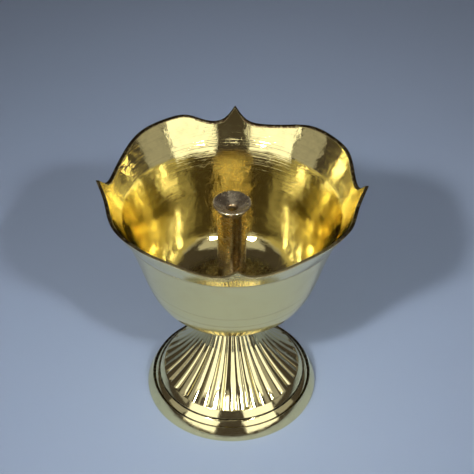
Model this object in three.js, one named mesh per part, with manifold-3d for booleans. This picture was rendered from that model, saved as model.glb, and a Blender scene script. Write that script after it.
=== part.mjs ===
// A turned brass oil lamp (diya): a fluted bell foot, a bowl with a scalloped flared lip,
// and a slotted wick post whose threaded tail goes through the bowl into the foot.
// Millimetres, +Z up. The origin is the centre of the foot's rest face.

import * as THREE from 'three';
import { mergeVertices } from 'three/addons/utils/BufferGeometryUtils.js';
import Module from 'manifold-3d';

const wasm = await Module();
wasm.setup();

// Foot
const FOOT_RADIUS = 24.5;
const FOOT_HEIGHT = 33.0;
const REST_BEVEL = 0.35;
const LOW_RING_HEIGHT = 4.0;
const LOW_RING_WIDTH = 1.45;
const LOW_RING_WALL = 0.9;
const GROOVE_WIDTH = 0.5;
const GROOVE_DEPTH = 0.7;
const MIDDLE_RING_WIDTH = 1.55;
const MIDDLE_RING_RISE = 1.9;
const MIDDLE_RING_LEAN = 25;
const TOP_RING_WIDTH = 0.9;
const TOP_RING_RISE = 1.65;
const NECK_RADIUS = 5.4;
const NECK_BAND = 1.6;
const BELL_FLARE = 1.9;
const FLUTE_COUNT = 32;
const FLUTE_DEPTH_SHARE = 0.05;
const FLUTE_TURN = -2.6;
const FLUTE_LEDGE = 0.05;
const FOOT_WALL = 1.6;
const REST_WIDTH = 3.0;
const SOCKET_LENGTH = 9.4;

// Bowl
const BOWL_HEIGHT = 40.0;
const BOWL_RADIUS = 29.8;
const LIP_HEIGHT = 9.6;
const LIP_FLARE = 5.5;
const LIP_BOW = 0.15;
const LIP_WALL = 0.85;
const BOWL_WALL = 1.3;
const BOWL_FLOOR = 2.0;
const SEAT_RADIUS = 9.0;
const BELLY_RADIUS = 22.0;
const BELLY_HEIGHT = 11.8;
const UNDERSIDE_RADIUS = 25.2;

// Rim outline: four points with a rounded lobe between each and the next.
// Heights are shares of the lip's height and angles run from +X, in degrees.
const POINT_ANGLES = [89, 179.4, 272.5, 358];
const LOBE_PEAKS = [0.36, 0.6, 0.47, 0.42];
const LOBE_TOP = 0.93;
const DIP_LEVEL = 0.5;
const LOBE_ROUNDNESS = 0.5;
const POINT_SPREAD = 4.2;

// Wick post
const POST_RADIUS = 3.9;
const POST_HEIGHT = 31.4;
const POST_BORE = 2.3;
const HEAD_RADIUS = 5.2;
const HEAD_HEIGHT = 2.3;
const HEAD_EDGE = 0.3;
const DISH_DEPTH = 2.0;
const WICK_HOLE = 1.1;
const SLOT_WIDTH = 3.2;
const SLOT_TURN = 17.6;
const SLOT_SILL = 3.0;
const THREAD_RADIUS = 2.0;
const THREAD_DEPTH = 0.4;
const THREAD_PITCH = 1.0;
const THREAD_TURNS = 8;
const THREAD_CLEARANCE = 0.3;

// Fineness
const ROUND_STEPS = 64;
const FLUTE_STEPS = 4;
const POST_STEPS = 24;
const LOBE_STEPS = 10;
const BELLY_STEPS = 9;
const BELL_STEPS = 8;
const HOLLOW_STEPS = 4;
const RING_STEPS = 4;
const LIP_SHARES = [0.4, 0.75, 1];

// How far a cut or a join runs past the faces that it meets
const MARGIN = 1;

const BORE_RADIUS = THREAD_RADIUS + THREAD_CLEARANCE;
const MIDDLE_GROOVE = FOOT_RADIUS - LOW_RING_WIDTH;
const MIDDLE_RING_FOOT = LOW_RING_HEIGHT - GROOVE_DEPTH;
const TOP_GROOVE = MIDDLE_GROOVE - GROOVE_WIDTH - MIDDLE_RING_WIDTH;
const MIDDLE_RING_TOP = MIDDLE_RING_FOOT + MIDDLE_RING_RISE;
const TOP_RING_FOOT = MIDDLE_RING_TOP + GROOVE_WIDTH - GROOVE_DEPTH;
const FLUTE_END_RADIUS = TOP_GROOVE - GROOVE_WIDTH - TOP_RING_WIDTH;
const FLUTE_END_HEIGHT = TOP_RING_FOOT + GROOVE_DEPTH + TOP_RING_RISE;
const BELL_RADIUS = FLUTE_END_RADIUS - FLUTE_LEDGE;
const FLUTE_TOP_HEIGHT = FOOT_HEIGHT - NECK_BAND;
const HOLLOW_TOP = FOOT_HEIGHT - SOCKET_LENGTH;
const RING_HEIGHT = BOWL_HEIGHT - LIP_HEIGHT;

// Joins vertices that share a place and returns the geometry as a solid.
function solid(geometry) {
  geometry.deleteAttribute('normal');
  geometry.deleteAttribute('uv');
  const merged = mergeVertices(geometry, 1e-5);
  const index = merged.index.array;
  const triangles = [];
  for (let i = 0; i < index.length; i += 3) {
    const [a, b, c] = index.slice(i, i + 3);
    if (a !== b && b !== c && c !== a) {
      triangles.push(a, b, c);
    }
  }
  return new wasm.Manifold(new wasm.Mesh({
    numProp: 3,
    vertProperties: new Float32Array(merged.attributes.position.array),
    triVerts: new Uint32Array(triangles),
  }));
}

function geometryOf(body) {
  const mesh = body.getMesh();
  const geometry = new THREE.BufferGeometry();
  geometry.setAttribute('position', new THREE.BufferAttribute(mesh.vertProperties, 3));
  geometry.setIndex(new THREE.BufferAttribute(mesh.triVerts, 1));
  geometry.computeVertexNormals();
  return geometry;
}

// Turns an outline of [radius, height] pairs about the Z axis. Its first vertex faces -Y.
function turned(outline, steps) {
  const points = outline.map(([r, z]) => new THREE.Vector2(r, z));
  const geometry = new THREE.LatheGeometry(points, steps);
  geometry.rotateX(Math.PI / 2);
  return geometry;
}

function mix(a, b, share) {
  return a + (b - a) * share;
}

// Crest radius of the bell at a height. Below the straight neck it widens: a straight-sided
// cone at BELL_FLARE 1, a trumpet above it.
function bellRadius(height) {
  const drop = (FLUTE_TOP_HEIGHT - height) / (FLUTE_TOP_HEIGHT - FLUTE_END_HEIGHT);
  return mix(NECK_RADIUS, BELL_RADIUS, Math.max(drop, 0) ** BELL_FLARE);
}

// Share of the flute's depth at an angle from -Y: 0 on a crest, 1 in the valley between two crests.
function fluteShare(angle) {
  const turn = (angle - THREE.MathUtils.degToRad(FLUTE_TURN)) * FLUTE_COUNT / (2 * Math.PI);
  return (2 * (turn - Math.round(turn))) ** 2;
}

function flutedBell() {
  const outline = [[0, FLUTE_END_HEIGHT - MARGIN], [BELL_RADIUS, FLUTE_END_HEIGHT - MARGIN]];
  for (let i = 0; i <= BELL_STEPS; i += 1) {
    const height = mix(FLUTE_END_HEIGHT, FLUTE_TOP_HEIGHT, i / BELL_STEPS);
    outline.push([bellRadius(height), height]);
  }
  outline.push([NECK_RADIUS, FOOT_HEIGHT], [0, FOOT_HEIGHT]);
  const geometry = turned(outline, FLUTE_COUNT * FLUTE_STEPS);
  geometry.rotateZ(THREE.MathUtils.degToRad(FLUTE_TURN));
  const position = geometry.attributes.position;
  const point = new THREE.Vector3();
  for (let i = 0; i < position.count; i += 1) {
    point.fromBufferAttribute(position, i);
    if (point.z < mix(FLUTE_TOP_HEIGHT, FLUTE_END_HEIGHT, 0.5 / BELL_STEPS)) {
      const share = 1 - FLUTE_DEPTH_SHARE * fluteShare(Math.atan2(point.x, -point.y));
      position.setXY(i, point.x * share, point.y * share);
    }
  }
  return solid(geometry);
}

// The rounded shoulder of a ring, from its outer wall up and in to its inner radius.
// It starts upright at a lean of 0 degrees, and tilted inwards at a lean above that.
function ringShoulder(inner, width, foot, rise, lean) {
  const start = THREE.MathUtils.degToRad(lean);
  const points = [];
  for (let i = 0; i <= RING_STEPS; i += 1) {
    const turn = mix(start, Math.PI / 2, i / RING_STEPS);
    const outwards = Math.cos(turn) / Math.cos(start);
    const upwards = (Math.sin(turn) - Math.sin(start)) / (1 - Math.sin(start));
    points.push([inner + width * outwards, foot + rise * upwards]);
  }
  return points;
}

// The three stacked rings at the bottom, with a narrow groove between each and the next.
function baseRings() {
  const lowShoulder = ringShoulder(
    MIDDLE_GROOVE,
    LOW_RING_WIDTH,
    LOW_RING_WALL,
    LOW_RING_HEIGHT - LOW_RING_WALL,
    0,
  );
  const middleShoulder = ringShoulder(
    TOP_GROOVE,
    MIDDLE_RING_WIDTH,
    MIDDLE_RING_FOOT + GROOVE_WIDTH,
    MIDDLE_RING_RISE - GROOVE_WIDTH,
    MIDDLE_RING_LEAN,
  );
  return solid(turned([
    [0, 0],
    [FOOT_RADIUS - REST_BEVEL, 0],
    [FOOT_RADIUS, REST_BEVEL],
    ...lowShoulder,
    [MIDDLE_GROOVE, MIDDLE_RING_FOOT],
    [MIDDLE_GROOVE - GROOVE_WIDTH, MIDDLE_RING_FOOT],
    ...middleShoulder,
    [TOP_GROOVE, TOP_RING_FOOT],
    [TOP_GROOVE - GROOVE_WIDTH, TOP_RING_FOOT],
    [TOP_GROOVE - GROOVE_WIDTH, TOP_RING_FOOT + GROOVE_DEPTH],
    [FLUTE_END_RADIUS, FLUTE_END_HEIGHT],
    [0, FLUTE_END_HEIGHT],
  ], ROUND_STEPS));
}

// The open hollow under the foot, with the socket for the post's tail at its top.
function footHollow() {
  const restInner = FOOT_RADIUS - REST_WIDTH;
  const outline = [[0, -MARGIN], [restInner, -MARGIN], [restInner, LOW_RING_HEIGHT / 2]];
  for (let i = 0; i <= HOLLOW_STEPS; i += 1) {
    const height = mix(FLUTE_END_HEIGHT, HOLLOW_TOP, i / HOLLOW_STEPS);
    const valley = bellRadius(height) * (1 - FLUTE_DEPTH_SHARE);
    outline.push([valley - FOOT_WALL, height]);
  }
  outline.push(
    [BORE_RADIUS, HOLLOW_TOP],
    [BORE_RADIUS, FOOT_HEIGHT + MARGIN],
    [0, FOOT_HEIGHT + MARGIN],
  );
  return solid(turned(outline, ROUND_STEPS));
}

// Height of the rim above the bowl's seat at an angle in degrees from +X: a lobe that rises
// between two points of the rim, and beside each point a rise that steepens towards its tip.
function rimHeight(angle) {
  const next = POINT_ANGLES.map((a) => (a > angle ? a : a + 360));
  const end = Math.min(...next);
  const index = (next.indexOf(end) + POINT_ANGLES.length - 1) % POINT_ANGLES.length;
  const start = POINT_ANGLES[index] > angle ? POINT_ANGLES[index] - 360 : POINT_ANGLES[index];
  const along = (angle - start) / (end - start);
  const peak = LOBE_PEAKS[index];
  const aside = along < peak ? (peak - along) / peak : (along - peak) / (1 - peak);
  const lobe = (LOBE_TOP - DIP_LEVEL) / (1 + (aside / LOBE_ROUNDNESS) ** 4);
  const edge = (LOBE_TOP - DIP_LEVEL) / (1 + (1 / LOBE_ROUNDNESS) ** 4);
  const fromPoint = Math.min(angle - start, end - angle);
  const point = (1 - DIP_LEVEL - edge) * Math.exp(-fromPoint / POINT_SPREAD);
  return RING_HEIGHT + LIP_HEIGHT * (DIP_LEVEL + lobe + point);
}

// Angles round the rim, closer together beside the four points.
function rimAngles() {
  const angles = [];
  POINT_ANGLES.forEach((start, i) => {
    const last = i + 1 === POINT_ANGLES.length;
    const end = last ? POINT_ANGLES[0] + 360 : POINT_ANGLES[i + 1];
    for (let step = 0; step < 2 * LOBE_STEPS; step += 1) {
      const side = (1 - Math.cos(Math.PI * step / (2 * LOBE_STEPS))) / 2;
      angles.push(mix(start, end, side));
    }
  });
  return angles;
}

// Outer radius of the lip at a height over its ring. The lip bows outwards a little, by LIP_BOW.
function lipRadius(height) {
  const share = height / LIP_HEIGHT;
  return BOWL_RADIUS + LIP_FLARE * share * (1 + LIP_BOW * (1 - share));
}

// The bowl's section at one angle: a closed loop from the floor's hole round the outside and back.
function bowlSection(angle) {
  const rim = rimHeight(angle) - RING_HEIGHT;
  const outside = new THREE.CubicBezierCurve(
    new THREE.Vector2(SEAT_RADIUS, 0),
    new THREE.Vector2(UNDERSIDE_RADIUS, 0),
    new THREE.Vector2(BELLY_RADIUS, BELLY_HEIGHT),
    new THREE.Vector2(BOWL_RADIUS, RING_HEIGHT),
  ).getPoints(BELLY_STEPS);
  const inside = new THREE.CubicBezierCurve(
    new THREE.Vector2(SEAT_RADIUS, BOWL_FLOOR),
    new THREE.Vector2(UNDERSIDE_RADIUS - BOWL_WALL, BOWL_FLOOR),
    new THREE.Vector2(BELLY_RADIUS - BOWL_WALL, BELLY_HEIGHT),
    new THREE.Vector2(BOWL_RADIUS - LIP_WALL, RING_HEIGHT),
  ).getPoints(BELLY_STEPS);
  const lip = LIP_SHARES.map((share) => [lipRadius(share * rim), RING_HEIGHT + share * rim]);
  return [
    [BORE_RADIUS, 0],
    ...outside.map((p) => [p.x, p.y]),
    ...lip,
    ...lip.reverse().map(([r, z]) => [r - LIP_WALL, z]),
    ...inside.reverse().map((p) => [p.x, p.y]),
    [BORE_RADIUS, BOWL_FLOOR],
  ];
}

function bowlGeometry() {
  const angles = rimAngles();
  const vertices = [];
  const triangles = [];
  let rows = 0;
  for (const angle of angles) {
    const section = bowlSection(angle);
    const turn = THREE.MathUtils.degToRad(angle);
    rows = section.length;
    for (const [r, z] of section) {
      vertices.push(r * Math.cos(turn), r * Math.sin(turn), z);
    }
  }
  for (let i = 0; i < angles.length; i += 1) {
    const here = i * rows;
    const there = ((i + 1) % angles.length) * rows;
    for (let j = 0; j < rows; j += 1) {
      const up = (j + 1) % rows;
      triangles.push(here + j, there + j, there + up);
      triangles.push(here + j, there + up, here + up);
    }
  }
  const geometry = new THREE.BufferGeometry();
  geometry.setAttribute('position', new THREE.Float32BufferAttribute(vertices, 3));
  geometry.setIndex(triangles);
  geometry.computeVertexNormals();
  return geometry;
}

// The post stands on its shoulder at height 0, with the threaded tail below it.
function postGeometry() {
  const tailLength = BOWL_FLOOR + THREAD_PITCH * THREAD_TURNS;
  const root = THREAD_RADIUS - THREAD_DEPTH;
  const outline = [[0, -tailLength]];
  for (let i = 0; i < THREAD_TURNS; i += 1) {
    const foot = THREAD_PITCH * i - tailLength;
    outline.push([root, foot], [THREAD_RADIUS, foot + THREAD_PITCH / 2]);
  }
  const headFoot = POST_HEIGHT - HEAD_HEIGHT;
  const dishFloor = POST_HEIGHT - DISH_DEPTH;
  outline.push(
    [root, -BOWL_FLOOR],
    [THREAD_RADIUS, -BOWL_FLOOR + THREAD_DEPTH],
    [THREAD_RADIUS, 0],
    [POST_RADIUS, 0],
    [POST_RADIUS, headFoot],
    [HEAD_RADIUS, POST_HEIGHT - HEAD_EDGE],
    [HEAD_RADIUS - HEAD_EDGE, POST_HEIGHT],
    [WICK_HOLE, dishFloor],
    [WICK_HOLE, headFoot - HEAD_EDGE],
    [POST_BORE, headFoot - HEAD_EDGE - POST_BORE + WICK_HOLE],
    [POST_BORE, SLOT_SILL],
    [0, SLOT_SILL],
  );
  const slotHeight = headFoot - HEAD_EDGE - SLOT_SILL;
  const slot = new THREE.BoxGeometry(SLOT_WIDTH, 2 * POST_RADIUS, slotHeight);
  slot.translate(0, -POST_RADIUS, SLOT_SILL + slotHeight / 2);
  slot.rotateZ(THREE.MathUtils.degToRad(SLOT_TURN));
  return geometryOf(solid(turned(outline, POST_STEPS)).subtract(solid(slot)));
}

const polishedBrass = new THREE.MeshStandardMaterial({
  color: 0xd9b64f,
  roughness: 0.18,
  metalness: 1,
});
const bowlBrass = polishedBrass.clone();
const heatedBrass = new THREE.MeshStandardMaterial({
  color: 0x9c7a4e,
  roughness: 0.42,
  metalness: 1,
});

const foot = new THREE.Mesh(
  geometryOf(flutedBell().add(baseRings()).subtract(footHollow())),
  polishedBrass,
);
foot.name = 'foot';

const bowl = new THREE.Mesh(bowlGeometry(), bowlBrass);
bowl.name = 'bowl';
bowl.position.z = FOOT_HEIGHT;

const wickPost = new THREE.Mesh(postGeometry(), heatedBrass);
wickPost.name = 'wick_post';
wickPost.position.z = BOWL_FLOOR;
bowl.add(wickPost);

const lamp = new THREE.Group();
lamp.name = 'diya';
lamp.add(foot, bowl);

export default lamp;
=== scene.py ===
# %% [markdown]
# # A turned brass oil lamp
# The lamp is three turned pieces: a fluted bell foot, a bowl with a lobed lip, and a slotted
# wick post whose threaded tail passes through the bowl into the foot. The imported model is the
# fixed frame. Nothing in it is moved: each piece below is a finer version of one of its solids,
# built in the same place and in metres.

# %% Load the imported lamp
import math

import bpy
import numpy as np
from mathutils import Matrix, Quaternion, Vector


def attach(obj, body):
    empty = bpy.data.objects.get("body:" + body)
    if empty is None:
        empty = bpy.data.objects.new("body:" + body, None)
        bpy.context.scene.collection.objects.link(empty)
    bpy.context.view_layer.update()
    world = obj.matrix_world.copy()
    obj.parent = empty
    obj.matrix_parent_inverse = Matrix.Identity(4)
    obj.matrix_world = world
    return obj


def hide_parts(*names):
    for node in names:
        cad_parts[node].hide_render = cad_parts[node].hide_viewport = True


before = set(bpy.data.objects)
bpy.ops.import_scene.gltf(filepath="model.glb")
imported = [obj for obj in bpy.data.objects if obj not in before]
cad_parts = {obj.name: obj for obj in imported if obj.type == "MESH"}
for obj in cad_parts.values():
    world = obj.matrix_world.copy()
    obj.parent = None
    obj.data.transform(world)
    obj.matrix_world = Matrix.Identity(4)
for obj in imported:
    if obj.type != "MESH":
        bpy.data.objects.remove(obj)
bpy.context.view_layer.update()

MM = 0.001

# %% [markdown]
# ## The camera
# The picture was taken from in front and 40 degrees above, close enough for the rim to look
# clearly larger than the foot. A camera could be placed by eye, but here its height, distance
# and lens come from fitting the ellipses of the two foot grooves and of the ring under the lip.
# The lamp leans half a degree in the picture, so the camera is rolled by that much.

# %% Place the camera
VIEW_DOWN = math.radians(40.0)
VIEW_DISTANCE = 334.6 * MM
VIEW_CENTRE = Vector((1.366, 0.0, 54.48)) * MM
VIEW_ROLL = math.radians(0.4)
SENSOR_WIDTH, LENS = 36, 94.94
NEAREST = 10 * MM

camera_data = bpy.data.cameras.new("camera")
camera_data.sensor_width = SENSOR_WIDTH
camera_data.lens = LENS
camera_data.clip_start = NEAREST
camera = bpy.data.objects.new("camera", camera_data)
towards_camera = Vector((0, -math.cos(VIEW_DOWN), math.sin(VIEW_DOWN)))
camera.location = VIEW_CENTRE + VIEW_DISTANCE * towards_camera
camera.rotation_mode = "QUATERNION"
level_view = towards_camera.to_track_quat("Z", "Y")
camera.rotation_quaternion = level_view @ Quaternion((0, 0, 1), VIEW_ROLL)
bpy.context.scene.collection.objects.link(camera)
bpy.context.scene.camera = camera
bpy.context.scene.view_settings.view_transform = "Standard"
print("camera at", [round(v / MM, 1) for v in camera.location], "mm")

# %% [markdown]
# ## Outlines
# A lathe piece is one outline turned about an axis, so every piece starts as a list of radius
# and height pairs in millimetres. A sharp turned corner never looks right in polished metal: the
# real tool leaves a tiny round that catches the light. Each corner therefore carries its own
# rounding, and the straight runs are split, so that the smooth shading of the round doesn't
# spread over the flat beside it.

# %% Helpers that draw an outline
ROUNDING_SHARE = 0.45


def eased(corners, steps=4):
    """Points of an outline whose (radius, height, rounding) corners are rounded by small arcs.

    A rounding takes at most ROUNDING_SHARE of the run on each side of its corner.
    """
    points = []
    for i, (r, z, rounding) in enumerate(corners):
        here = np.array([r, z])
        if rounding == 0 or i in (0, len(corners) - 1):
            points.append(here)
            continue
        before = np.array(corners[i - 1][:2]) - here
        after = np.array(corners[i + 1][:2]) - here
        shorter = min(np.linalg.norm(before), np.linalg.norm(after))
        reach = min(rounding, ROUNDING_SHARE * shorter)
        start = here + before / np.linalg.norm(before) * reach
        end = here + after / np.linalg.norm(after) * reach
        for t in np.linspace(0, 1, steps + 1):
            points.append((1 - t) ** 2 * start + 2 * t * (1 - t) * here + t ** 2 * end)
    return np.array(points)


def split(points, longest, margin=0.06):
    """The same outline with its long runs split, and a short step at each end of a run."""
    made = [points[0]]
    for a, b in zip(points[:-1], points[1:]):
        length = np.linalg.norm(b - a)
        shares = [1.0]
        if length > 3 * margin:
            inner = np.linspace(margin, length - margin, max(2, math.ceil(length / longest)))
            shares = [*(inner / length), 1.0]
        made += [a + (b - a) * share for share in shares]
    return np.array(made)


def curve_between(a, b, c, d, steps):
    """Points of a cubic curve from a to d with the handles b and c."""
    t = np.linspace(0, 1, steps + 1)[:, None]
    a, b, c, d = (np.array(p, float) for p in (a, b, c, d))
    return (1 - t) ** 3 * a + 3 * t * (1 - t) ** 2 * b + 3 * t ** 2 * (1 - t) * c + t ** 3 * d


print("a square corner becomes", len(eased([(0, 0, 0), (1, 0, 0.2), (1, 1, 0)])), "points")

# %% [markdown]
# ## From outline to mesh
# Blender's Screw modifier can turn an outline, but the flutes, the lobes and the thread all
# change with the angle. So a piece is a grid: rows run along the outline, columns run round the
# axis, and numpy works out every point at once. Two values are stored at each point for the
# materials: how much darker it is painted there, partly as dirt and old polish and partly as
# painted shade, shadow and reflection, and how much hands wear it bright.

# %% Helpers that turn a grid into a piece
CREASE = math.radians(35)


def grid_mesh(name, points, finishes, dirt_and_shade, wear):
    """A closed mesh from rows x columns of points in millimetres.

    The finishes are given per row, the dirt and painted shade and the wear per row or per point.
    """
    rows, columns = points.shape[:2]
    row, column = np.meshgrid(np.arange(rows), np.arange(columns), indexing="ij")
    up, along = (row + 1) % rows, (column + 1) % columns
    corners = [row * columns + column, row * columns + along,
               up * columns + along, up * columns + column]
    faces = np.stack(corners, axis=-1).reshape(-1, 4)
    mesh = bpy.data.meshes.new(name)
    mesh.from_pydata((points.reshape(-1, 3) * MM).tolist(), [], faces.tolist())
    mesh.polygons.foreach_set("material_index", np.repeat(finishes, columns).astype(np.int32))
    for label, values in (("dirt_and_shade", dirt_and_shade), ("wear", wear)):
        store = mesh.attributes.new(label, "FLOAT", "POINT")
        per_point = np.broadcast_to(values, (rows, columns)).astype(np.float32)
        store.data.foreach_set("value", per_point.ravel())
    mesh.polygons.foreach_set("use_smooth", np.ones(rows * columns, bool))
    mesh.set_sharp_from_angle(angle=CREASE)
    mesh.update()
    return mesh


def place(name, mesh, materials, body, node):
    """Make an object of the mesh that rides on its body and stands for its solid."""
    piece = bpy.data.objects.new(name, mesh)
    bpy.context.scene.collection.objects.link(piece)
    for material in materials:
        mesh.materials.append(material)
    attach(piece, body)
    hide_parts(node)
    size = [round(v / MM, 2) for v in piece.dimensions]
    print(name, "has", len(mesh.polygons), "faces and measures", size, "mm")


def bump_at(values, centres, width):
    """1 at each centre, falling smoothly to 0 over the width on both sides."""
    away = np.abs(np.subtract.outer(values, np.atleast_1d(centres))).min(axis=-1) / width
    return np.clip(1 - away, 0, 1) ** 2 * (1 + 2 * np.clip(away, 0, 1))


print("grime next to a groove", bump_at(np.array([0.0, 0.5, 1.0]), 0.0, 1.0).round(2))

# %% [markdown]
# ## Surface effects shared by the finishes
# All three pieces are the same yellow brass, and what differs is how each was worked and used.
# The effects are therefore node groups, built once and given their own values in each material:
# the fine rings that a lathe tool leaves, the hair scratches of polishing and cleaning, the soft
# unevenness of a buffed surface, and tarnish in blotches, with the stored dirt and painted shade
# darkening the recesses. All of them read object coordinates, so the marks stay on a piece when
# it is lifted out.

# %% Helpers that wire nodes
def new_group(name, inputs, outputs):
    """A node group with named sockets, and its input and output nodes."""
    group = bpy.data.node_groups.new(name, "ShaderNodeTree")
    for label, kind, value in inputs:
        socket = group.interface.new_socket(label, in_out="INPUT", socket_type="NodeSocket" + kind)
        socket.default_value = value
    for label, kind in outputs:
        group.interface.new_socket(label, in_out="OUTPUT", socket_type="NodeSocket" + kind)
    return group, group.nodes.new("NodeGroupInput"), group.nodes.new("NodeGroupOutput")


def node(tree, kind, settings=None, **wires):
    """A node with its settings, whose sockets are set to a value or wired to an output.

    A wire named _0, _1 and so on is for the socket of that number.
    """
    made = tree.nodes.new("ShaderNode" + kind)
    for label, value in (settings or {}).items():
        setattr(made, label, value)
    for label, value in wires.items():
        key = int(label[1:]) if label[1:].isdigit() else label.replace("_", " ")
        if isinstance(value, bpy.types.NodeSocket):
            tree.links.new(value, made.inputs[key])
        else:
            made.inputs[key].default_value = value
    return made


def calc(tree, operation, a, b=0.0, c=0.0, clamp=False):
    """The output of a Math node."""
    settings = {"operation": operation, "use_clamp": clamp}
    return node(tree, "Math", settings, _0=a, _1=b, _2=c).outputs[0]


def ramp(tree, value, low, high, to_low=0.0, to_high=1.0):
    """The value eased from one range to another."""
    settings = {"interpolation_type": "SMOOTHSTEP"}
    made = node(tree, "MapRange", settings, Value=value, From_Min=low, From_Max=high,
                To_Min=to_low, To_Max=to_high)
    return made.outputs[0]


def blend_colours(tree, share, a, b):
    """The colour between a and b."""
    made = node(tree, "Mix", {"data_type": "RGBA"}, _0=share, _6=a, _7=b)
    return made.outputs[2]


def noise(tree, where, scale, detail=1.0, roughness=0.5):
    """The grey value of a Noise Texture."""
    made = node(tree, "TexNoise", Vector=where, Scale=scale, Detail=detail, Roughness=roughness)
    return made.outputs["Fac"]


def scaled(tree, vector, scale):
    """The vector multiplied by a number."""
    return node(tree, "VectorMath", {"operation": "SCALE"}, Vector=vector, Scale=scale).outputs[0]


# %% Group: the rings that a lathe tool leaves
RADIUS_SHARE = 0.83
DRIFT_LENGTH = 4 * MM
RING_PATCHES_PER_METRE = 90.0


def make_turning_marks():
    """Fine rings round the axis, from distance along the turned profile."""
    tree, given, result = new_group(
        "Turning marks",
        [("Spacing", "Float", 0.2), ("Drift", "Float", 0.3), ("Patchiness", "Float", 0.5)],
        [("Height", "Float"), ("Mask", "Float")],
    )
    on_object = node(tree, "TexCoord").outputs["Object"]
    part = node(tree, "SeparateXYZ", Vector=on_object)
    around = node(tree, "CombineXYZ", X=part.outputs["X"], Y=part.outputs["Y"]).outputs[0]
    radius = node(tree, "VectorMath", {"operation": "LENGTH"}, Vector=around).outputs["Value"]
    along = calc(tree, "ADD", calc(tree, "MULTIPLY", radius, RADIUS_SHARE), part.outputs["Z"])
    lines = calc(tree, "DIVIDE", along, calc(tree, "MULTIPLY", given.outputs["Spacing"], MM))
    drift = calc(tree, "MULTIPLY", given.outputs["Drift"], 1 / DRIFT_LENGTH)
    lines_in_space = node(tree, "CombineXYZ", X=lines).outputs[0]
    where = node(tree, "VectorMath", {"operation": "ADD"}, _0=lines_in_space,
                 _1=scaled(tree, around, drift)).outputs[0]
    rings = noise(tree, where, 1.0, detail=2.0)
    patches = ramp(tree, noise(tree, on_object, RING_PATCHES_PER_METRE), 0.35, 0.65)
    lost = calc(tree, "MULTIPLY", patches, given.outputs["Patchiness"])
    kept = calc(tree, "SUBTRACT", 1.0, lost)
    centred = calc(tree, "SUBTRACT", rings, 0.5)
    deepest = ramp(tree, rings, 0.55, 0.8)
    tree.links.new(calc(tree, "MULTIPLY", centred, kept), result.inputs["Height"])
    tree.links.new(calc(tree, "MULTIPLY", deepest, kept), result.inputs["Mask"])
    return tree


turning_marks = make_turning_marks()
print("built group", turning_marks.name)


# %% Group: hair scratches of polishing and cleaning
# A direction is a turn in radians, and a shift in metres that keeps the three from lining up.
SCRATCH_DIRECTIONS = [((0.4, 0.2, 0.5), 1.7), ((1.3, -0.5, 2.1), 5.1), ((-0.7, 1.1, 3.9), 9.4)]
SCRATCHES_PER_METRE = (2600.0, 150.0, 300.0)
SCRATCH_PATCHES_PER_METRE = 160.0


def make_hair_scratches():
    """Thin straight scratches in three directions, broken up into short runs."""
    tree, given, result = new_group(
        "Hair scratches",
        [("Density", "Float", 1.0), ("Cover", "Float", 0.5)],
        [("Height", "Float"), ("Mask", "Float")],
    )
    on_object = node(tree, "TexCoord").outputs["Object"]
    total = None
    for turn, shift in SCRATCH_DIRECTIONS:
        turned = node(tree, "Mapping", Vector=on_object, Rotation=turn, Location=(shift, 0, 0))
        stretched = node(tree, "VectorMath", {"operation": "MULTIPLY"}, _0=turned.outputs[0],
                         _1=SCRATCHES_PER_METRE).outputs[0]
        streak = noise(tree, scaled(tree, stretched, given.outputs["Density"]), 1.0)
        thin = ramp(tree, streak, 0.68, 0.76)
        total = thin if total is None else calc(tree, "MAXIMUM", total, thin)
    patches = noise(tree, on_object, SCRATCH_PATCHES_PER_METRE, detail=2.0)
    edge = calc(tree, "SUBTRACT", 1.0, given.outputs["Cover"])
    scratched = ramp(tree, patches, edge, calc(tree, "ADD", edge, 0.15))
    shown = calc(tree, "MULTIPLY", total, scratched)
    tree.links.new(calc(tree, "MULTIPLY", shown, -1.0), result.inputs["Height"])
    tree.links.new(shown, result.inputs["Mask"])
    return tree


hair_scratches = make_hair_scratches()
print("built group", hair_scratches.name)


# %% Group: the soft unevenness of buffed metal
FINER, HAZIER = 4.0, 1.7


def make_buffed_waves():
    """Low waves left by hand polishing, wide and shallow, with a finer orange-peel in them."""
    tree, given, result = new_group(
        "Buffed waves",
        [("Width", "Float", 5.0), ("Fine share", "Float", 0.3)],
        [("Height", "Float"), ("Haze", "Float")],
    )
    on_object = node(tree, "TexCoord").outputs["Object"]
    wide = calc(tree, "DIVIDE", 1 / MM, given.outputs["Width"])
    waves = noise(tree, on_object, wide)
    finer = noise(tree, on_object, calc(tree, "MULTIPLY", wide, FINER))
    fine_share = calc(tree, "MULTIPLY", given.outputs["Fine share"], 1 / FINER)
    fine = calc(tree, "MULTIPLY", finer, fine_share)
    haze = noise(tree, on_object, calc(tree, "MULTIPLY", wide, HAZIER), detail=4.0, roughness=0.7)
    tree.links.new(calc(tree, "ADD", waves, fine), result.inputs["Height"])
    tree.links.new(ramp(tree, haze, 0.35, 0.75), result.inputs["Haze"])
    return tree


buffed_waves = make_buffed_waves()
print("built group", buffed_waves.name)


# %% Group: tarnish in blotches, and the stored dirt and painted shade
SPECKS_PER_METRE = 1400.0
SPECK_STRENGTH = 1.5
WORN_AWAY = 0.8


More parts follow.
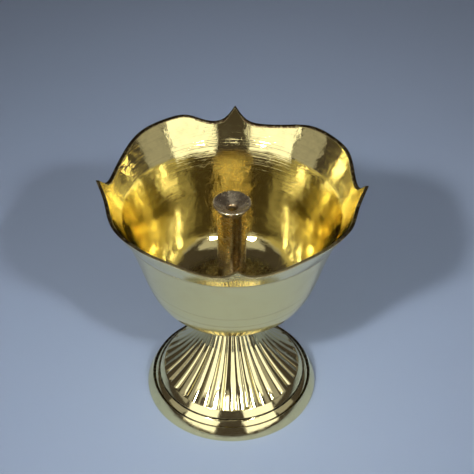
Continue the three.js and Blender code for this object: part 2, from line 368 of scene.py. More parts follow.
def make_tarnish_and_shade():
    """Brass colour from clean to dark: tarnish in blotches, the stored dirt and painted shade,
    less where worn.
    """
    tree, given, result = new_group(
        "Tarnish and shade",
        [("Clean", "Color", (0.92, 0.75, 0.30, 1)), ("Dull", "Color", (0.20, 0.12, 0.04, 1)),
         ("Blotch size", "Float", 6.0), ("Blotches", "Float", 0.2), ("Recess", "Float", 1.0)],
        [("Colour", "Color"), ("Mask", "Float")],
    )
    on_object = node(tree, "TexCoord").outputs["Object"]
    dirt_and_shade = node(tree, "Attribute", {"attribute_name": "dirt_and_shade"}).outputs["Fac"]
    wear = node(tree, "Attribute", {"attribute_name": "wear"}).outputs["Fac"]
    wide = calc(tree, "DIVIDE", 1 / MM, given.outputs["Blotch size"])
    cloud = noise(tree, on_object, wide, detail=5.0, roughness=0.62)
    speck = noise(tree, on_object, SPECKS_PER_METRE)
    blotches = calc(tree, "MULTIPLY", ramp(tree, cloud, 0.42, 0.72), given.outputs["Blotches"])
    grainy = calc(tree, "MULTIPLY", dirt_and_shade, ramp(tree, speck, 0.3, 0.7, 0.7, 1.15))
    recess = calc(tree, "MULTIPLY", grainy, given.outputs["Recess"])
    speckled = calc(tree, "MULTIPLY", blotches, SPECK_STRENGTH)
    spots = calc(tree, "MULTIPLY", ramp(tree, speck, 0.76, 0.84), speckled)
    laid = calc(tree, "ADD", calc(tree, "ADD", blotches, recess), spots)
    kept = calc(tree, "SUBTRACT", 1.0, calc(tree, "MULTIPLY", wear, WORN_AWAY))
    worn = calc(tree, "MULTIPLY", laid, kept, clamp=True)
    colour = blend_colours(tree, worn, given.outputs["Clean"], given.outputs["Dull"])
    tree.links.new(colour, result.inputs["Colour"])
    tree.links.new(worn, result.inputs["Mask"])
    return tree


tarnish_and_shade = make_tarnish_and_shade()
print("built group", tarnish_and_shade.name)

# %% [markdown]
# ## The brass finishes
# Brass is a metal, so its colour is the colour of its reflections and its Metallic is 1. A
# single roughness would look like plastic foil: the real surface is clearer where it was buffed
# and hazier where tool rings, scratches or tarnish break it up. Each finish places the four
# groups with its own values, adds their heights for one bump, and raises the roughness by masks.

# %% Helper that makes one brass finish
RING_HAZE, SCRATCH_HAZE, TARNISH_HAZE = 0.06, 0.12, 0.30


def brass(name, clean, dull, smooth, rough, rings, scratches, waves, stain_and_shade):
    """A brass material, from its two colours, its roughness range and each group's values.

    The values of each group are unpacked by name below, with lengths and depths in millimetres.
    """
    spacing, drift, patchiness, ring_depth, ring_tint = rings
    density, cover, scratch_depth = scratches
    wave_width, fine_share, wave_depth = waves
    blotch_size, blotches, recess = stain_and_shade
    material = bpy.data.materials.new(name)
    material.use_nodes = True
    tree = material.node_tree
    tree.nodes.clear()
    shader = node(tree, "BsdfPrincipled", Metallic=1.0)
    output = node(tree, "OutputMaterial")
    tree.links.new(shader.outputs[0], output.inputs["Surface"])

    def group(made, **values):
        """A group placed in this material."""
        return node(tree, "Group", {"node_tree": made}, **values)

    ring = group(turning_marks, Spacing=spacing, Drift=drift, Patchiness=patchiness)
    hair = group(hair_scratches, Density=density, Cover=cover)
    wave = group(buffed_waves, Width=wave_width, Fine_share=fine_share)
    # The coat paints tarnish in blotches and the stored dirt and painted shade.
    coat = group(tarnish_and_shade, Clean=(*clean, 1), Dull=(*dull, 1), Blotch_size=blotch_size,
                 Blotches=blotches, Recess=recess)
    ringed = calc(tree, "MULTIPLY", ring.outputs["Mask"], ring_tint)
    colour = blend_colours(tree, ringed, coat.outputs["Colour"], (*dull, 1))
    tree.links.new(colour, shader.inputs["Base Color"])

    total = calc(tree, "MULTIPLY", ring.outputs["Height"], ring_depth)
    total = calc(tree, "MULTIPLY_ADD", hair.outputs["Height"], scratch_depth, total)
    total = calc(tree, "MULTIPLY_ADD", wave.outputs["Height"], wave_depth, total)
    bump = node(tree, "Bump", Height=total, Distance=MM, Strength=1.0)
    tree.links.new(bump.outputs[0], shader.inputs["Normal"])

    haze = calc(tree, "MULTIPLY_ADD", wave.outputs["Haze"], rough - smooth, smooth)
    haze = calc(tree, "MULTIPLY_ADD", ring.outputs["Mask"], RING_HAZE, haze)
    haze = calc(tree, "MULTIPLY_ADD", hair.outputs["Mask"], SCRATCH_HAZE, haze)
    haze = calc(tree, "MULTIPLY_ADD", coat.outputs["Mask"], TARNISH_HAZE, haze, clamp=True)
    tree.links.new(haze, shader.inputs["Roughness"])
    print("finish", name, "has", len(tree.nodes), "nodes")
    return material


# %% Make the finishes
CLEAN_BRASS = (0.93, 0.83, 0.44)
BROWN = (0.20, 0.12, 0.05)
BLACK_BROWN = (0.05, 0.032, 0.015)

foot_polish = brass(
    "polished fluted brass", CLEAN_BRASS, BLACK_BROWN, 0.06, 0.15,
    rings=(0.22, 0.2, 0.6, 0.004, 0.0), scratches=(1.0, 0.45, 0.002), waves=(3.0, 0.5, 0.02),
    stain_and_shade=(5.0, 0.10, 1.0),
)
foot_cast = brass(
    "rough cast brass", (0.62, 0.46, 0.20), BROWN, 0.42, 0.62,
    rings=(0.8, 0.5, 0.4, 0.05, 0.2), scratches=(0.6, 0.3, 0.005), waves=(1.2, 1.0, 0.12),
    stain_and_shade=(4.0, 0.6, 1.0),
)
bowl_outside = brass(
    "turned satin brass", (1.0, 0.85, 0.40), BROWN, 0.12, 0.20,
    rings=(0.30, 0.15, 0.5, 0.004, 0.05), scratches=(0.8, 0.4, 0.002), waves=(6.0, 0.3, 0.012),
    stain_and_shade=(7.0, 0.06, 1.0),
)
bowl_inside = brass(
    "mirror brass inside the bowl", (0.94, 0.82, 0.38), (0.10, 0.06, 0.026), 0.05, 0.10,
    rings=(0.34, 0.10, 0.25, 0.030, 0.14), scratches=(0.7, 0.55, 0.008), waves=(3.6, 0.9, 0.085),
    stain_and_shade=(4.0, 0.14, 1.0),
)
cut_edge = brass(
    "cut edge of the lip", (0.55, 0.45, 0.22), (0.035, 0.024, 0.012), 0.38, 0.55,
    rings=(0.25, 0.5, 0.3, 0.01, 0.1), scratches=(1.2, 0.5, 0.006), waves=(1.0, 0.6, 0.02),
    stain_and_shade=(3.0, 0.8, 1.0),
)
post_brass = brass(
    "heat-browned brass", (0.84, 0.73, 0.50), (0.24, 0.17, 0.09), 0.20, 0.32,
    rings=(0.18, 0.2, 0.3, 0.004, 0.1), scratches=(1.0, 0.5, 0.002), waves=(2.5, 0.4, 0.012),
    stain_and_shade=(4.0, 0.12, 1.0),
)

# %% [markdown]
# ## The foot
# The foot was cast hollow, turned outside, and its bell was then cut into 32 flutes: ribs with
# nearly flat crests and a sharp valley between each and the next. Below them stand three rings
# with leaning faces and a narrow groove between each and the next. The grooves, the valleys and
# the ledge where the valleys end are painted darker as shade. The ribs could be a bump, but
# their valleys are a millimetre deep and their scalloped ends show against the top ring, so
# they are modelled: the radius of every row on the bell shrinks towards each valley.
# The cutter never hit twice the same way, so the ribs differ in width, depth, roundness and in
# how far their crest is tilted to one side.

# %% The foot's sizes
FOOT_HEIGHT = 33.0
FOOT_RADIUS = 24.5
NECK_RADIUS = 5.4
BELL_RADIUS = 19.55
BELL_FLARE = 1.9
CONE_FOOT, CONE_RADIUS, CONE_SLOPE = 19.5, 9.12, 0.5
FLUTE_END, FLUTE_TOP, FLUTE_FADE = 7.35, 31.4, 2.5
FLUTE_COUNT = 32
FLUTE_DEPTH_SHARE = 0.05
FLUTE_TURN = math.radians(-2.6)
FOOT_WALL, REST_WIDTH = 1.6, 3.0
SOCKET_RADIUS, SOCKET_FLOOR = 2.3, 23.6
THREAD_PITCH, SOCKET_THREAD_DEPTH = 1.0, 0.35
COLUMNS_PER_FLUTE, BELL_ROWS, HOLLOW_ROWS = 16, 56, 24

# A ring's face has the radius and height of its foot, its rise, and its lean at foot and top.
LOW_RING = (24.44, 1.0, 2.98, 23, 31)
MIDDLE_RING = (22.6, 3.5, 1.7, 31, 45)
TOP_RING = (20.85, 5.3, 1.9, 31, 36)
LOW_GROOVE_FLOOR, HIGH_GROOVE_FLOOR = 3.3, 4.9
GROOVE_MIDDLES = [22.73, 21.0]

# %% How the flutes differ
rng = np.random.default_rng(11)
valley_depth = rng.uniform(0.55, 1.0, FLUTE_COUNT)
crest_lean = rng.uniform(-0.14, 0.14, FLUTE_COUNT)
crest_roundness = rng.uniform(2.2, 5.0, FLUTE_COUNT)
rib_tilt = rng.uniform(-0.22, 0.22, FLUTE_COUNT)


def bell_radius(height):
    """Radius of the bell over its crests at a height: hollow below, a straight cone above."""
    drop = np.clip((FLUTE_TOP - height) / (FLUTE_TOP - FLUTE_END), 0, 1)
    flare = NECK_RADIUS + (BELL_RADIUS - NECK_RADIUS) * drop ** BELL_FLARE
    cone = CONE_RADIUS - CONE_SLOPE * (height - CONE_FOOT)
    return np.maximum(np.where(height > CONE_FOOT, cone, flare), NECK_RADIUS)


def flute_depth(angles):
    """Share of the full depth at each angle from +X: 0 on a crest, near 1 in a valley."""
    turn = (angles + math.pi / 2 - FLUTE_TURN) * FLUTE_COUNT / (2 * math.pi)
    rib = np.round(turn).astype(int)
    aside = turn - rib
    lean = crest_lean[rib % FLUTE_COUNT]
    share = np.where(aside > lean, (aside - lean) / (0.5 - lean), (lean - aside) / (0.5 + lean))
    valley = np.where(aside > 0, rib, rib - 1) % FLUTE_COUNT
    tilt = rib_tilt[rib % FLUTE_COUNT]
    tilted = (tilt * 2 * aside + np.abs(tilt)) * (1 - share ** 8)
    return valley_depth[valley] * share ** crest_roundness[rib % FLUTE_COUNT] + tilted


print("valleys are cut to", valley_depth.min().round(2), "or more of their full depth")


# %% The foot's outline
def ring_face(radius, foot, rise, low_lean, high_lean, steps=12):
    """Corners of a ring's face, whose lean inwards in degrees grows from its foot to its top."""
    step = rise / steps
    leans = np.radians(np.linspace(low_lean, high_lean, steps))
    radii = radius - np.concatenate([[0], np.cumsum(np.tan(leans) * step)])
    return [(r, foot + step * i, 0) for i, r in enumerate(radii)]


hollow_radius = FOOT_RADIUS - REST_WIDTH
rings_outline = split(eased([
    (hollow_radius, 0.0, 0), (FOOT_RADIUS, 0.0, 0.35), (FOOT_RADIUS, 0.75, 0.3),
    *ring_face(*LOW_RING),
    (22.88, 3.98, 0.04), (22.86, LOW_GROOVE_FLOOR, 0.05), (22.6, LOW_GROOVE_FLOOR, 0.05),
    *ring_face(*MIDDLE_RING),
    (21.17, 5.2, 0.04), (21.15, HIGH_GROOVE_FLOOR, 0.05), (20.85, HIGH_GROOVE_FLOOR, 0.05),
    *ring_face(*TOP_RING),
    (19.52, 7.28, 0.05), (19.4, FLUTE_END, 0),
]), 0.6)
bell_heights = np.linspace(FLUTE_END, FLUTE_TOP, BELL_ROWS)
bell_outline = np.column_stack([bell_radius(bell_heights), bell_heights])
neck_outline = split(eased([
    (NECK_RADIUS, FLUTE_TOP, 0), (NECK_RADIUS, FOOT_HEIGHT, 0.25),
    (SOCKET_RADIUS, FOOT_HEIGHT, 0.3), (SOCKET_RADIUS, FOOT_HEIGHT - 0.8, 0),
]), 0.7)[1:]
socket_heights = np.arange(FOOT_HEIGHT - 0.9, SOCKET_FLOOR, -0.125)
socket_outline = np.column_stack([np.full(len(socket_heights), SOCKET_RADIUS), socket_heights])
hollow_heights = np.linspace(SOCKET_FLOOR, FLUTE_END, HOLLOW_ROWS)
hollow_radii = bell_radius(hollow_heights) * (1 - FLUTE_DEPTH_SHARE) - FOOT_WALL
hollow_outline = np.vstack([
    split(np.array([(SOCKET_RADIUS, SOCKET_FLOOR), (hollow_radii[0], SOCKET_FLOOR)]), 0.8)[:-1],
    np.column_stack([hollow_radii, hollow_heights]),
    split(eased([(hollow_radii[-1], FLUTE_END, 0), (hollow_radius, 2.0, 1.0),
                 (hollow_radius, 0.0, 0)]), 0.8)[1:-1],
])
foot_parts = {"rings": rings_outline, "bell": bell_outline, "neck": neck_outline,
              "socket": socket_outline, "hollow": hollow_outline}
foot_outline = np.vstack(list(foot_parts.values()))
foot_part = np.repeat(list(foot_parts), [len(part) for part in foot_parts.values()])
print("foot outline has", len(foot_outline), "points in", len(foot_parts), "parts")

# %% Turn the foot, then cut its flutes
columns = FLUTE_COUNT * COLUMNS_PER_FLUTE
angles = FLUTE_TURN - math.pi / 2 + np.arange(columns) * 2 * math.pi / columns
depth = flute_depth(angles)
radius = np.repeat(foot_outline[:, :1], columns, axis=1)
height = np.repeat(foot_outline[:, 1:], columns, axis=1)
on_bell = (foot_part == "bell")[:, None]
fade = np.clip((FLUTE_TOP - height) / FLUTE_FADE, 0, 1)
fade = fade * fade * (3 - 2 * fade)
radius = np.where(on_bell, radius * (1 - FLUTE_DEPTH_SHARE * depth * fade), radius)

# The socket's thread is cut outwards from its bore, so the post's tail slides past it.
in_socket = (foot_part == "socket")[:, None]
thread_turn = (height / THREAD_PITCH - angles / (2 * math.pi)) % 1
thread_crest = 1 - 2 * np.abs(thread_turn - 0.5)
radius = np.where(in_socket, radius + SOCKET_THREAD_DEPTH * thread_crest, radius)
foot_points = np.stack([radius * np.cos(angles), radius * np.sin(angles), height], axis=-1)
print("foot grid", foot_points.shape)

# %% Say where the foot is painted darker as shade, where it is worn bright and where it is left rough
VALLEY_SHADE, LEDGE_SHADE, LEDGE_WIDTH, LEDGE_CUT = 0.75, 0.6, 0.5, 0.35
GROOVE_SHADE_REACH, GROOVE_SHADE_EDGE = 0.26, 0.1
POLISHED, CAST = 0, 1

# Painted shade: the valleys of the flutes, the grooves between the rings and the ledge where the
# valleys end are darkened.
valley_shade = np.where(on_bell, VALLEY_SHADE * np.clip(depth, 0, 1) ** 6 * fade, 0)
from_groove = np.abs(np.subtract.outer(foot_outline[:, 0], GROOVE_MIDDLES)).min(axis=1)
by_groove = (foot_part == "rings") & (foot_outline[:, 1] > LOW_GROOVE_FLOOR - 0.3)
in_groove = np.clip((GROOVE_SHADE_REACH - from_groove) / GROOVE_SHADE_EDGE, 0, 1)
groove_shade = np.where(by_groove, in_groove, 0)[:, None]
on_ledge = bump_at(foot_outline[:, 1], FLUTE_END, LEDGE_WIDTH)[:, None]
ledge_shade = LEDGE_SHADE * on_ledge * (depth > LEDGE_CUT) * on_bell
foot_shade = np.clip(valley_shade + groove_shade + ledge_shade, 0, 1)
foot_wear = np.where(on_bell, np.clip(1 - depth * 3, 0, 1), 0)
foot_finish = np.where(np.isin(foot_part, ["socket", "hollow"]), CAST, POLISHED)
foot_mesh = grid_mesh("foot_brass", foot_points, foot_finish, foot_shade, foot_wear)
place("foot_brass", foot_mesh, [foot_polish, foot_cast], "foot", "foot")

# %% [markdown]
# ## The bowl
# The bowl was cast and turned thin, and its lip was then cut to four lobes with a pointed ogee
# between each and the next. The rim's height changes with the angle, so the rows of the lip are
# placed as shares of that height, and the columns crowd towards the four points to keep them
# sharp. The lip's wall is under a millimetre, and its cut edge is a material of its own, because
# it was sawn and filed, not polished. The edge and the rows beside it are painted nearly black,
# lighter towards the front point, where hands wear it bright. A file was also run up and down
# under each point, and left upright facets in the lip. A fine groove marks where the lip starts
# and two lighter tool lines run round the belly, both painted darker as shade. Inside, a painted
# contact shadow rings the post's foot, and the middle of the bowl's floor is painted dark as a
# painted reflection of the dark room.

# %% The bowl's sizes
BOWL_FOOT = FOOT_HEIGHT
BOWL_RADIUS = 29.8
RING_HEIGHT = 30.4
LIP_HEIGHT, LIP_FLARE, LIP_BOW, LIP_WALL = 9.6, 5.5, 0.15, 0.85
BOWL_WALL, BOWL_FLOOR, SEAT_RADIUS, POST_RADIUS = 1.3, 2.0, 9.0, 3.9
BELLY_RADIUS, BELLY_HEIGHT, UNDERSIDE_RADIUS = 22.0, 11.8, 25.2
REAR_POINT, LEFT_POINT, FRONT_POINT, RIGHT_POINT = 89.0, 179.4, 272.5, 358.0
LOBE_STARTS = np.array([REAR_POINT, LEFT_POINT, FRONT_POINT, RIGHT_POINT])
LOBE_ENDS = np.append(LOBE_STARTS[1:], LOBE_STARTS[0] + 360)
LOBE_PEAKS = np.array([0.36, 0.6, 0.47, 0.42])
LOBE_TOP, DIP_LEVEL, LOBE_ROUNDNESS = 0.93, 0.5, 0.5
POINT_SPREAD, POINT_STRAIGHTNESS = 4.3, 1.2
EDGE_ROUND = 0.2
TOOL_LINES, TOOL_LINE_DEPTH, TOOL_LINE_WIDTH = [10.5, 14.2], 0.05, 0.28
LIP_GROOVE, LIP_GROOVE_DEPTH, LIP_GROOVE_WIDTH = RING_HEIGHT - 0.15, 0.14, 0.3
LOBE_COLUMNS, OUTSIDE_ROWS, LIP_ROWS, INSIDE_ROWS = 160, 150, 26, 90
OUTER_EDGE_ROWS, INNER_EDGE_ROWS = 4, 5


# %% Where the rim and the lip run
def rim_rise(angles):
    """Height of the rim over the ring, in millimetres, at each angle in degrees from +X."""
    shifted = np.where(angles < REAR_POINT, angles + 360, angles)
    lobe = np.searchsorted(LOBE_STARTS, shifted, side="right") - 1
    start, end = LOBE_STARTS[lobe], LOBE_ENDS[lobe]
    along = (shifted - start) / (end - start)
    peak = LOBE_PEAKS[lobe]
    aside = np.where(along < peak, (peak - along) / peak, (along - peak) / (1 - peak))
    crown = (LOBE_TOP - DIP_LEVEL) / (1 + (aside / LOBE_ROUNDNESS) ** 4)
    edge = (LOBE_TOP - DIP_LEVEL) / (1 + (1 / LOBE_ROUNDNESS) ** 4)
    near = np.minimum(shifted - start, end - shifted)
    point = (1 - DIP_LEVEL - edge) * np.exp(-(near / POINT_SPREAD) ** POINT_STRAIGHTNESS)
    return LIP_HEIGHT * (DIP_LEVEL + crown + point)


def lip_radius(rise):
    """Outer radius of the lip at a height over its ring. The lip bows outwards a little."""
    share = rise / LIP_HEIGHT
    return BOWL_RADIUS + LIP_FLARE * share * (1 + LIP_BOW * (1 - share))


print("the rim rises", rim_rise(LOBE_STARTS).round(2), "mm over the ring at its points")

# %% The bowl's fixed rows, outside and inside
outside = curve_between((SEAT_RADIUS, 0), (UNDERSIDE_RADIUS, 0), (BELLY_RADIUS, BELLY_HEIGHT),
                        (BOWL_RADIUS, RING_HEIGHT), OUTSIDE_ROWS)
inside = curve_between((SEAT_RADIUS, BOWL_FLOOR), (UNDERSIDE_RADIUS - BOWL_WALL, BOWL_FLOOR),
                       (BELLY_RADIUS - BOWL_WALL, BELLY_HEIGHT),
                       (BOWL_RADIUS - LIP_WALL, RING_HEIGHT), INSIDE_ROWS)[::-1]
tool_lines = TOOL_LINE_DEPTH * bump_at(outside[:, 1], TOOL_LINES, TOOL_LINE_WIDTH)
lip_groove = LIP_GROOVE_DEPTH * bump_at(outside[:, 1], LIP_GROOVE, LIP_GROOVE_WIDTH)
outside[:, 0] -= tool_lines + lip_groove
hole_middle = (SOCKET_RADIUS, BOWL_FLOOR / 2, 0)
seat = split(eased([hole_middle, (SOCKET_RADIUS, 0, 0.15), (SEAT_RADIUS, 0, 0)]), 0.8)[:-1]
floor = split(eased([(SEAT_RADIUS, BOWL_FLOOR, 0), (SOCKET_RADIUS, BOWL_FLOOR, 0.15),
                     hole_middle]), 0.8)[1:-1]
print("bowl wall is traced by", len(outside) + len(inside), "rows")

# %% Place the bowl's columns, and the rows of its lip
POINT_CROWDING = 0.5
BESIDE_EDGE = 0.06

even = np.linspace(0, 1, LOBE_COLUMNS, endpoint=False)
crowded = (1 - np.cos(math.pi * even)) / 2
spread = POINT_CROWDING * crowded + (1 - POINT_CROWDING) * even
bowl_degrees = np.concatenate([a + (b - a) * spread for a, b in zip(LOBE_STARTS, LOBE_ENDS)])
bowl_angles = np.radians(bowl_degrees)
rise = rim_rise(bowl_degrees % 360)

lip_shares = np.append(np.linspace(0, 1, LIP_ROWS)[1:], 1.0)
lip_rise = np.outer(lip_shares, rise - EDGE_ROUND)
lip_rise[-2] = lip_rise[-1] - BESIDE_EDGE
print("lip has", len(lip_shares), "rows and", len(rise), "columns")

# %% File the facets under the points
# A file run up and down under each point left upright facets there, deepest a third of the way up.
FACET_REACH, FACETS_PER_DEGREE, FACET_DEPTH, FACET_TOP = 16.0, 2.6, 0.05, 0.62
SECOND_FACETS, SECOND_SHARE = 1.73, 0.6

aside = (bowl_degrees[:, None] - LOBE_STARTS + 180) % 360 - 180
from_point = np.abs(aside).min(axis=1)
facet_reach = np.clip(1 - from_point / FACET_REACH, 0, 1) ** 0.5
first_facets = np.sin(bowl_degrees * FACETS_PER_DEGREE)
second_facets = np.sin(bowl_degrees * FACETS_PER_DEGREE * SECOND_FACETS + 1)
facets = first_facets + SECOND_SHARE * second_facets
facet_depth = FACET_DEPTH * facet_reach * (1 + SECOND_SHARE - facets) / 2
facet_rows = np.sin(np.clip(lip_shares / FACET_TOP, 0, 1) * math.pi)
facet_cut = np.outer(facet_rows, facet_depth)
print("facets are up to", facet_cut.max().round(3), "mm deep")


# %% Turn the bowl
def turned_rows(outline):
    """The rows of an outline that is the same at every column."""
    return np.broadcast_to(outline[:, None, :], (len(outline), len(rise), 2))


def lip_rows_at(radii, levels):
    """The rows of the lip at radii and at levels over its ring."""
    return np.stack([radii, RING_HEIGHT + levels], axis=-1)


outer_lip = lip_rows_at(lip_radius(lip_rise) - facet_cut, lip_rise)
inner_lip = lip_rows_at(lip_radius(lip_rise) - LIP_WALL, lip_rise)
rows = [turned_rows(seat), turned_rows(outside), outer_lip]
for turn in np.linspace(0, 1, OUTER_EDGE_ROWS + 1)[1:] * math.pi / 2:
    level = rise - EDGE_ROUND * (1 - math.sin(turn))
    rounded = lip_radius(level) - EDGE_ROUND * (1 - math.cos(turn))
    rows.append(lip_rows_at(rounded, level)[None])
for turn in np.linspace(0, 1, INNER_EDGE_ROWS) * math.pi / 2:
    level = rise - EDGE_ROUND * (1 - math.cos(turn))
    rounded = lip_radius(level) - LIP_WALL + EDGE_ROUND * (1 - math.sin(turn))
    rows.append(lip_rows_at(rounded, level)[None])
rows += [inner_lip[-2::-1], turned_rows(inside), turned_rows(floor)]
bowl_rows = np.concatenate(rows)
bowl_radius, bowl_height = bowl_rows[..., 0], bowl_rows[..., 1] + BOWL_FOOT
bowl_points = np.stack([bowl_radius * np.cos(bowl_angles), bowl_radius * np.sin(bowl_angles),
                        bowl_height], axis=-1)
print("bowl grid", bowl_points.shape)

# %% Say which rows are outside, cut edge and inside
OUTSIDE, INSIDE, EDGE = 0, 1, 2

lip_start = len(seat) + len(outside)
outer_count = lip_start + len(lip_shares)
bowl_finish = np.full(len(bowl_rows), INSIDE)
bowl_finish[:outer_count] = OUTSIDE
bowl_finish[outer_count:outer_count + OUTER_EDGE_ROWS + INNER_EDGE_ROWS - 1] = EDGE
print("rows of each finish", np.bincount(bowl_finish))

# %% Say where the bowl is painted darker and where it is worn bright
LIP_GROOVE_SHADE, TOOL_LINE_SHADE, POST_FOOT_SHADOW, DARK_FLOOR_REFLECTION, POINT_DIRT = 0.5, 0.25, 0.7, 0.8, 0.4
LIP_GROOVE_BAND, TOOL_LINE_BAND, POST_FOOT_BAND = 0.35, 0.3, 1.6
DARK_FLOOR_RADIUS, DARK_FLOOR_EDGE = 15.5, 2
POINT_DIRT_FOOT, POINT_DIRT_EDGE = 0.55, 0.1
RIM_BAND, RIM_DARKENING = 0.5, 1.2
WORN_FRONT, WORN_STRENGTH = 45, 1.4

row_radius, row_height = bowl_rows[:, 0, 0], bowl_rows[:, 0, 1]
outer_row = np.arange(len(bowl_rows)) < outer_count
# Painted shade in the groove under the lip and in the two tool lines on the belly.
outer_shade = (LIP_GROOVE_SHADE * bump_at(row_height, LIP_GROOVE, LIP_GROOVE_BAND)
              + TOOL_LINE_SHADE * bump_at(row_height, TOOL_LINES, TOOL_LINE_BAND))
# Inside, a painted contact shadow round the post's foot.
inner_shadow_and_reflection = (POST_FOOT_SHADOW * bump_at(row_radius, POST_RADIUS, POST_FOOT_BAND)
              # Painted dark reflection over the middle of the bowl's floor.
              + DARK_FLOOR_REFLECTION * np.clip((DARK_FLOOR_RADIUS - row_radius) / DARK_FLOOR_EDGE, 0, 1))
bowl_shade_and_reflection = np.where(outer_row, outer_shade, inner_shadow_and_reflection)
bowl_dirt_and_shade = np.repeat(bowl_shade_and_reflection[:, None], len(bowl_angles), axis=1)
on_edge = bowl_finish == EDGE
# The cut edge is painted nearly black; the wear lightens it towards the front point.
bowl_dirt_and_shade[on_edge] = 1.0

from_front = np.abs(bowl_degrees % 360 - FRONT_POINT)
front = np.clip(WORN_STRENGTH - from_front / WORN_FRONT, 0, 1)
bowl_wear = np.zeros_like(bowl_dirt_and_shade)
bowl_wear[on_edge] = front
below_rim = RING_HEIGHT + rise - bowl_rows[..., 1]
# The rows just beside the cut edge are painted darker, less towards the front point.
beside_edge = (bowl_rows[..., 1] > RING_HEIGHT) & (below_rim < RIM_BAND) & ~on_edge[:, None]
bowl_dirt_and_shade += beside_edge * np.clip(RIM_DARKENING - front, 0, 1)
upper_lip = np.clip((lip_shares - POINT_DIRT_FOOT) / POINT_DIRT_EDGE, 0, 1)
bowl_dirt_and_shade[lip_start:outer_count] += POINT_DIRT * np.outer(upper_lip, facet_reach)
bowl_mesh = grid_mesh("bowl_brass", bowl_points, bowl_finish, np.clip(bowl_dirt_and_shade, 0, 1), bowl_wear)
place("bowl_brass", bowl_mesh, [bowl_outside, bowl_inside, cut_edge], "bowl", "bowl")

# %% [markdown]
# ## The wick post
# The post is a turned tube with a dished head, open at the front by one long sawn slot, and one
# heat-browned finish covers all of it. The solid tail carries a screw thread, which is a real
# helix here: its radius depends on both height and angle, so the grid turns it without any extra
# tool. The slot is different, because it is a straight-sided cut through a round wall, and a
# Boolean with a box gives it clean edges.

# %% The post's sizes
POST_FOOT = BOWL_FOOT + BOWL_FLOOR
POST_HEIGHT, POST_BORE = 31.4, 2.3
HEAD_RADIUS, HEAD_HEIGHT, HEAD_EDGE, DISH_DEPTH, WICK_HOLE = 5.2, 2.3, 0.3, 2.0, 1.1
SLOT_WIDTH, SLOT_TURN, SLOT_SILL = 3.2, math.radians(17.6), 3.0
THREAD_RADIUS, THREAD_DEPTH, THREAD_TURNS, THREAD_STEP = 2.0, 0.4, 8, THREAD_PITCH / 8
TAIL_END, CENTRE_MARK = 1.3, 0.15
POST_COLUMNS = 96

# %% The post's outline
head_foot = POST_HEIGHT - HEAD_HEIGHT
hole_foot = head_foot - HEAD_EDGE
dish_floor = POST_HEIGHT - DISH_DEPTH
tail_foot = -BOWL_FLOOR - THREAD_TURNS * THREAD_PITCH
tail_heights = np.arange(tail_foot + 2 * THREAD_STEP, -BOWL_FLOOR - 0.1, THREAD_STEP)
tail_outline = np.column_stack([np.full(len(tail_heights), THREAD_RADIUS), tail_heights])
end_outline = np.array([(CENTRE_MARK, tail_foot), (TAIL_END, tail_foot)])
shank_outline = split(eased([
    (THREAD_RADIUS - 0.1, -BOWL_FLOOR, 0), (THREAD_RADIUS, -BOWL_FLOOR + 0.2, 0.1),
    (THREAD_RADIUS, 0, 0.05), (POST_RADIUS, 0, 0.12), (POST_RADIUS, head_foot, 0.5),
    (HEAD_RADIUS, POST_HEIGHT - 0.35, 0.35), (HEAD_RADIUS - 0.3, POST_HEIGHT, 0.25),
    (WICK_HOLE + 0.3, dish_floor + 0.15, 0.5), (WICK_HOLE, dish_floor - 0.3, 0.2),
    (WICK_HOLE, hole_foot, 0.05), (POST_BORE, hole_foot - POST_BORE + WICK_HOLE, 0.3),
    (POST_BORE, SLOT_SILL, 0.2), (CENTRE_MARK, SLOT_SILL, 0),
]), 0.7)
post_outline = np.vstack([end_outline, tail_outline, shank_outline])
print("post outline has", len(post_outline), "points, from", post_outline[:, 1].min())

# %% Turn the post and its thread
post_angles = SLOT_TURN - math.pi / 2 + np.arange(POST_COLUMNS) * 2 * math.pi / POST_COLUMNS
post_radius = np.repeat(post_outline[:, :1], POST_COLUMNS, axis=1)
post_height = np.repeat(post_outline[:, 1:], POST_COLUMNS, axis=1)
tail_rows = slice(len(end_outline), len(end_outline) + len(tail_outline))
on_tail = np.zeros((len(post_outline), 1), bool)
on_tail[tail_rows] = True
tail_turn = (post_height / THREAD_PITCH - post_angles / (2 * math.pi)) % 1
tail_crest = 1 - 2 * np.abs(tail_turn - 0.5)
post_radius = np.where(on_tail, THREAD_RADIUS - THREAD_DEPTH * (1 - tail_crest), post_radius)
post_points = np.stack([post_radius * np.cos(post_angles), post_radius * np.sin(post_angles),
                        post_height + POST_FOOT], axis=-1)
print("post grid", post_points.shape)

# %% Say where the post is painted darker as shade and shadow
SHOULDER_SHADOW, DISH_DARKENING, HOLE_SHADE = 0.8, 0.9, 1.0
SHOULDER_BAND, DISH_BAND_MIDDLE, DISH_BAND, HOLE_BAND = 1.2, 0.9, 1.3, 0.5
UNDER_HEAD = 1

outline_radius, outline_height = post_outline[:, 0], post_outline[:, 1]
in_head = outline_height > head_foot - UNDER_HEAD
# A painted contact shadow at the shoulder where the post stands on the bowl's floor.
post_shade = SHOULDER_SHADOW * bump_at(outline_height, 0.0, SHOULDER_BAND) * (outline_height >= 0)
# Darker in the dish round the wick hole.
post_shade += DISH_DARKENING * bump_at(outline_radius, DISH_BAND_MIDDLE, DISH_BAND) * in_head
# Painted shade in the wick hole and at its mouth.
post_shade += HOLE_SHADE * (outline_radius < WICK_HOLE + HOLE_BAND) * in_head
post_painted_shade = np.clip(post_shade, 0, 1)[:, None]
one_finish = np.zeros(len(post_outline))
post_blank = grid_mesh("post_blank", post_points, one_finish, post_painted_shade, 0.0)
# Counts the rows of the post that are painted darker as shade and shadow.
print("painted shade lies on", np.count_nonzero(post_shade), "of", len(post_shade), "rows of the post")

# %% Saw the slot
SAW_REACH = 8.0

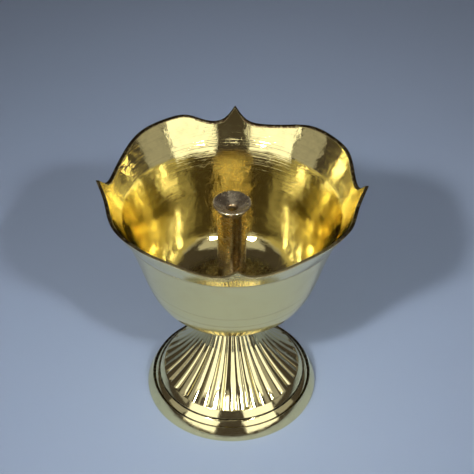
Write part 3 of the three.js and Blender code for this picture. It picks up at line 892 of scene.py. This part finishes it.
saw_box = np.array([(x, y, z) for x in (-SLOT_WIDTH / 2, SLOT_WIDTH / 2)
                    for y in (-SAW_REACH, 0.0) for z in (SLOT_SILL, hole_foot)])
saw_x, saw_y = saw_box[:, 0], saw_box[:, 1]
turned_x = saw_x * math.cos(SLOT_TURN) - saw_y * math.sin(SLOT_TURN)
turned_y = saw_x * math.sin(SLOT_TURN) + saw_y * math.cos(SLOT_TURN)
saw_points = np.column_stack([turned_x, turned_y, saw_box[:, 2] + POST_FOOT]) * MM
saw_sides = [(0, 1, 3, 2), (4, 6, 7, 5), (0, 4, 5, 1), (2, 3, 7, 6), (0, 2, 6, 4), (1, 5, 7, 3)]
saw_mesh = bpy.data.meshes.new("saw")
saw_mesh.from_pydata(saw_points.tolist(), [], saw_sides)
blank = bpy.data.objects.new("blank", post_blank)
saw = bpy.data.objects.new("saw", saw_mesh)
for made in (blank, saw):
    bpy.context.scene.collection.objects.link(made)
cut = blank.modifiers.new("saw", "BOOLEAN")
cut.operation = "DIFFERENCE"
cut.solver = "EXACT"
cut.object = saw
bpy.context.view_layer.update()
sawn_blank = blank.evaluated_get(bpy.context.evaluated_depsgraph_get())
post_mesh = bpy.data.meshes.new_from_object(sawn_blank)
post_mesh.name = "wick_post_brass"
for made in (blank, saw):
    bpy.data.objects.remove(made)
post_mesh.set_sharp_from_angle(angle=CREASE)
place("wick_post_brass", post_mesh, [post_brass], "wick_post", "wick_post")

# %% [markdown]
# ## Floor and light
# The lamp stands on a plain pale grey-blue floor. Polished brass has hardly any look of its own:
# what shows is what it reflects. Two small bright lamps in front, left and right, give the two
# shadows and the hot points inside the bowl. Two wide soft boxes beside them give the flutes and
# rings their broad bright bands, and the gap between the boxes gives the dark middle of the
# rings. A small lamp over the camera whitens the foot of the middle ribs. Two weak boxes at the
# sides, one behind and one overhead keep the bowl, the back and the sides from going black. The
# world is dim, so that what faces none of them goes brown.

# %% Floor
FLOOR_COLOUR = (0.345, 0.43, 0.585)
FLOOR_ROUGHNESS = 0.8
FLOOR_SIZE = 4.0

half = FLOOR_SIZE / 2
floor_corners = [(-half, -half, 0), (half, -half, 0), (half, half, 0), (-half, half, 0)]
floor_mesh = bpy.data.meshes.new("floor")
floor_mesh.from_pydata(floor_corners, [], [(0, 1, 2, 3)])
floor_material = bpy.data.materials.new("pale floor")
floor_material.use_nodes = True
floor_shader = floor_material.node_tree.nodes["Principled BSDF"]
floor_shader.inputs["Base Color"].default_value = (*FLOOR_COLOUR, 1)
floor_shader.inputs["Roughness"].default_value = FLOOR_ROUGHNESS
floor_mesh.materials.append(floor_material)
floor_piece = bpy.data.objects.new("floor", floor_mesh)
bpy.context.scene.collection.objects.link(floor_piece)
print("floor", FLOOR_SIZE, "m across")


# %% Helper that places a lamp
AIM = Vector((0, -0.02, 0.03))


def softbox(name, around, above, distance, width, tall, brightness, spread=180):
    """Place a rectangular lamp that faces AIM and has a brightness along its axis.

    The angle around runs from the front to the right, and sizes are in metres.
    """
    turn, lift = math.radians(around), math.radians(above)
    level = math.cos(lift)
    towards = Vector((math.sin(turn) * level, -math.cos(turn) * level, math.sin(lift)))
    lamp = bpy.data.lights.new(name, "AREA")
    lamp.shape = "RECTANGLE"
    lamp.size, lamp.size_y = width, tall
    lamp.energy = math.pi * width * tall * brightness
    if spread < 180:
        reach = math.radians(spread / 2)
        lamp.energy *= 1 - reach / math.tan(reach)
    lamp.spread = math.radians(spread)
    made = bpy.data.objects.new(name, lamp)
    made.location = AIM + towards * distance
    made.rotation_euler = towards.to_track_quat("Z", "Y").to_euler()
    bpy.context.scene.collection.objects.link(made)
    lit = width * tall * brightness * math.sin(lift) / distance ** 2 / math.pi
    print(name, "lights the floor to", round(lit, 2), "of white")


# %% Lamps
softbox("key left", -33, 42, 1.2, 0.09, 0.09, 380, spread=20)
softbox("key right", 33, 42, 1.2, 0.09, 0.09, 250, spread=20)
softbox("box left", -40, 19, 0.60, 0.46, 0.37, 1.28)
softbox("box right", 40, 19, 0.60, 0.46, 0.37, 1.28)
softbox("side left", -78, 24, 0.60, 0.26, 0.36, 0.28)
softbox("side right", 78, 24, 0.60, 0.26, 0.36, 0.28)
softbox("top front", 0, 47, 0.60, 0.09, 0.12, 2.8)
softbox("back", 180, 34, 0.70, 0.80, 0.34, 0.16)
softbox("overhead", 0, 68, 0.60, 0.84, 0.36, 0.40)

# %% World
DIM_ROOM = (0.055, 0.046, 0.042)

world = bpy.data.worlds.new("dim studio")
world.use_nodes = True
background = world.node_tree.nodes["Background"]
background.inputs["Color"].default_value = (*DIM_ROOM, 1)
background.inputs["Strength"].default_value = 1.0
bpy.context.scene.world = world
print("world", DIM_ROOM)
